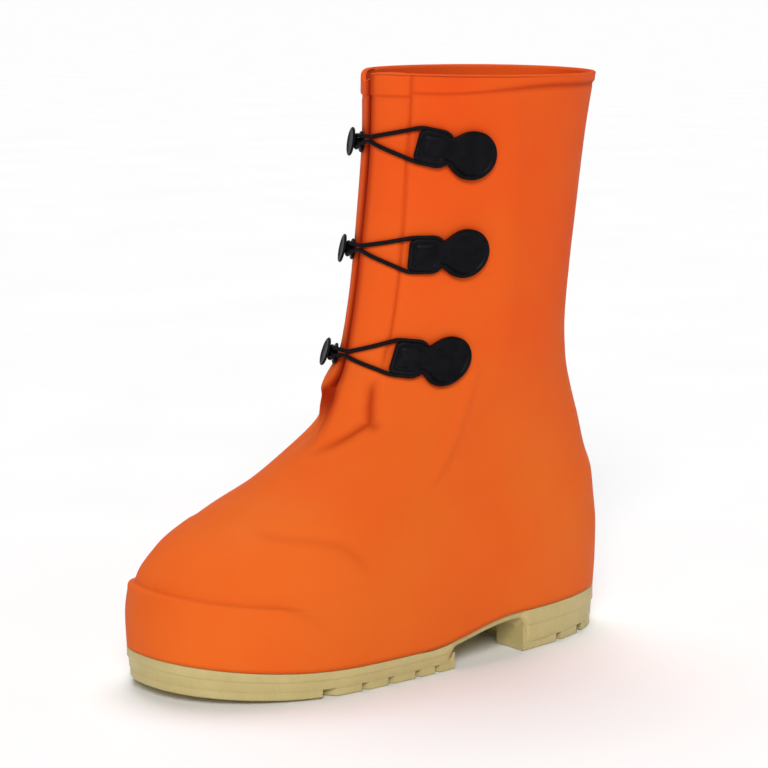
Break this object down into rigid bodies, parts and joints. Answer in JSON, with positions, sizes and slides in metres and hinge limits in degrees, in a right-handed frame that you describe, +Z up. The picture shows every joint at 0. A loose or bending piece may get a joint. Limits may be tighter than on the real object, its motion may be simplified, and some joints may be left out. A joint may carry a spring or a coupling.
{
  "type": "steel toe rubber boot",
  "caption": "Left moulded PVC work boot with a rounded safety toe, a folded front pleat closed by elastic loops on buttons, and a lugged sole with a heel.",
  "frame": {"origin": "on the floor under the middle of the boot's box", "axes": "+Z up from the floor, -Y towards the toe, +X towards the outer side of the left foot"},
  "size_m": [0.1264, 0.3134, 0.3375],
  "materials": {
    "orange_pvc": "satin moulded PVC",
    "tan_pvc": "matt moulded PVC",
    "insole_felt": "pressed felt",
    "black_rubber": "satin rubber",
    "black_elastic": "braided elastic"
  },
  "bodies": {
    "root": {"upper": "orange_pvc", "outsole": "tan_pvc", "insole": "insole_felt", "tab_top": "black_rubber", "tab_middle": "black_rubber", "tab_bottom": "black_rubber", "button_top": "black_rubber", "button_middle": "black_rubber", "button_bottom": "black_rubber", "cord_top": "black_elastic", "cord_middle": "black_elastic", "cord_bottom": "black_elastic"}
  },
  "joints": []
}
